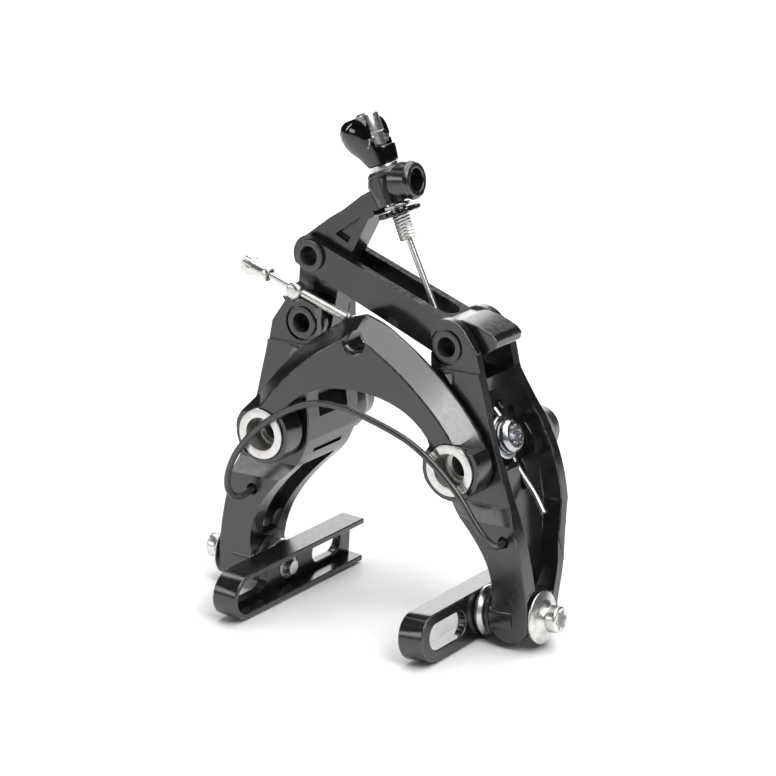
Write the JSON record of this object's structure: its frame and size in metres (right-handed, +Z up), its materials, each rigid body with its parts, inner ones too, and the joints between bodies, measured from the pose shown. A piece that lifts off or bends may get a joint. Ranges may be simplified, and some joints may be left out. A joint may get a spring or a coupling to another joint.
{
  "type": "rim brake caliper",
  "caption": "Dual-arm rim brake caliper with toggle linkage, cable stop lever, return spring and pad holders.",
  "frame": {"origin": "midway between the two mounting bores, on the plane of the rear seat faces", "axes": "+Y from the caliper towards the frame it is bolted to, along the mounting bores; +Z up; +X right, seen from the front"},
  "size_m": [0.106, 0.0607, 0.1275],
  "materials": {
    "black_anodised": "black anodised, fine bead-blasted satin",
    "gloss_black": "polished black anodised",
    "dark_grey_anodised": "dark grey anodised",
    "stainless": "turned stainless steel",
    "zinc_plated": "bright zinc plated steel",
    "spring_steel": "black phosphated spring wire",
    "bearing_bronze": "sintered bronze",
    "brake_wire": "stranded stainless wire"
  },
  "bodies": {
    "arch": {"arch_plate": "black_anodised", "return_spring": "spring_steel", "left_pivot_sleeve": "stainless", "right_pivot_sleeve": "stainless", "left_rear_seat": "dark_grey_anodised", "right_rear_seat": "dark_grey_anodised", "left_front_thrust_washer": "bearing_bronze", "right_front_thrust_washer": "bearing_bronze", "left_rear_thrust_washer": "bearing_bronze", "right_rear_thrust_washer": "bearing_bronze"},
    "left_arm": {"left_arm": "black_anodised", "left_front_bush": "bearing_bronze", "left_rear_bush": "bearing_bronze", "lever_pivot_pin": "dark_grey_anodised", "centring_nut": "stainless"},
    "right_arm": {"right_arm": "black_anodised", "right_front_bush": "bearing_bronze", "right_rear_bush": "bearing_bronze", "link_pivot_pin": "dark_grey_anodised", "anchor_bolt": "zinc_plated", "anchor_washer": "zinc_plated"},
    "brake_wire": {"brake_wire": "brake_wire"},
    "stop_lever": {"stop_lever": "black_anodised", "crank_pin": "dark_grey_anodised", "cable_seat_washer": "dark_grey_anodised", "housing_barrel": "stainless", "quick_release_pin": "stainless"},
    "quick_release": {"quick_release_lever": "gloss_black"},
    "cable_adjuster": {"adjuster_stud": "stainless", "thumb_wheel": "gloss_black", "adjuster_lock_nut": "zinc_plated"},
    "toggle_link": {"toggle_link": "black_anodised"},
    "centring_screw": {"centring_screw": "stainless", "centring_knob": "stainless"},
    "left_pad_carriage": {"left_pad_bolt": "stainless", "left_cup_washer": "dark_grey_anodised"},
    "left_pad_holder": {"left_pad_holder": "black_anodised", "left_pad_nut": "zinc_plated", "left_spherical_washer": "stainless"},
    "right_pad_carriage": {"right_pad_bolt": "stainless", "right_cup_washer": "dark_grey_anodised"},
    "right_pad_holder": {"right_pad_holder": "black_anodised", "right_pad_nut": "zinc_plated", "right_spherical_washer": "stainless"}
  },
  "joints": [
    {"name": "right_arm_swing", "type": "hinge", "parent": "arch", "child": "right_arm", "pos_m": [0.028, -0.0235, 0], "axis": [0, 1, 0], "range_deg": [0, 8], "stiffness_Nm_per_rad": 0.3, "springref_deg": -20.05, "deforming": ["return_spring", "brake_wire"]},
    {"name": "left_arm_swing", "type": "hinge", "parent": "arch", "child": "left_arm", "pos_m": [-0.028, -0.0235, 0], "axis": [0, 1, 0], "range_deg": [-8, 0]},
    {"name": "stop_lever_swing", "type": "hinge", "parent": "left_arm", "child": "stop_lever", "pos_m": [-0.0214, -0.0252, 0.0279], "axis": [0, 1, 0], "range_deg": [0, 34]},
    {"name": "link_swing", "type": "hinge", "parent": "right_arm", "child": "toggle_link", "pos_m": [0.0214, -0.0252, 0.0279], "axis": [0, 1, 0], "range_deg": [-11, 0]},
    {"name": "wire_swing", "type": "hinge", "parent": "right_arm", "child": "brake_wire", "pos_m": [0.0305, -0.0237, 0.009], "axis": [0, 1, 0], "range_deg": [-16, 0]},
    {"name": "quick_release_flip", "type": "hinge", "parent": "stop_lever", "child": "quick_release", "pos_m": [-0.00496, -0.0252, 0.07483], "axis": [0, 1, 0], "range_deg": [-50, 0]},
    {"name": "adjuster_turn", "type": "hinge", "parent": "stop_lever", "child": "cable_adjuster", "pos_m": [-0.0006, -0.0252, 0.0643], "axis": [-0.3827, 0, 0.9239], "continuous": true},
    {"name": "centring_turn", "type": "hinge", "parent": "left_arm", "child": "centring_screw", "pos_m": [-0.0235, -0.0329, 0.0358], "axis": [0.9472, 0, -0.3206], "continuous": true},
    {"name": "left_pad_height", "type": "slide", "parent": "left_arm", "child": "left_pad_carriage", "axis": [0.0698, 0, 0.9976], "range_m": [-0.0024, 0.0024]},
    {"name": "left_pad_pitch", "type": "hinge", "parent": "left_pad_carriage", "child": "left_pad_holder", "pos_m": [-0.04, -0.0311, -0.0382], "axis": [0.9976, 0, -0.0698], "range_deg": [-10, 10]},
    {"name": "right_pad_height", "type": "slide", "parent": "right_arm", "child": "right_pad_carriage", "axis": [-0.0698, 0, 0.9976], "range_m": [-0.0024, 0.0024]},
    {"name": "right_pad_pitch", "type": "hinge", "parent": "right_pad_carriage", "child": "right_pad_holder", "pos_m": [0.04, -0.0311, -0.0382], "axis": [0.9976, 0, 0.0698], "range_deg": [-10, 10]}
  ],
  "couplings": [
    {"joint": "left_arm_swing", "follows": "right_arm_swing", "ratio": -1},
    {"joint": "stop_lever_swing", "follows": "right_arm_swing", "ratio": 4.14},
    {"joint": "link_swing", "follows": "right_arm_swing", "ratio": -1.307},
    {"joint": "wire_swing", "follows": "right_arm_swing", "ratio": -1.85}
  ]
}
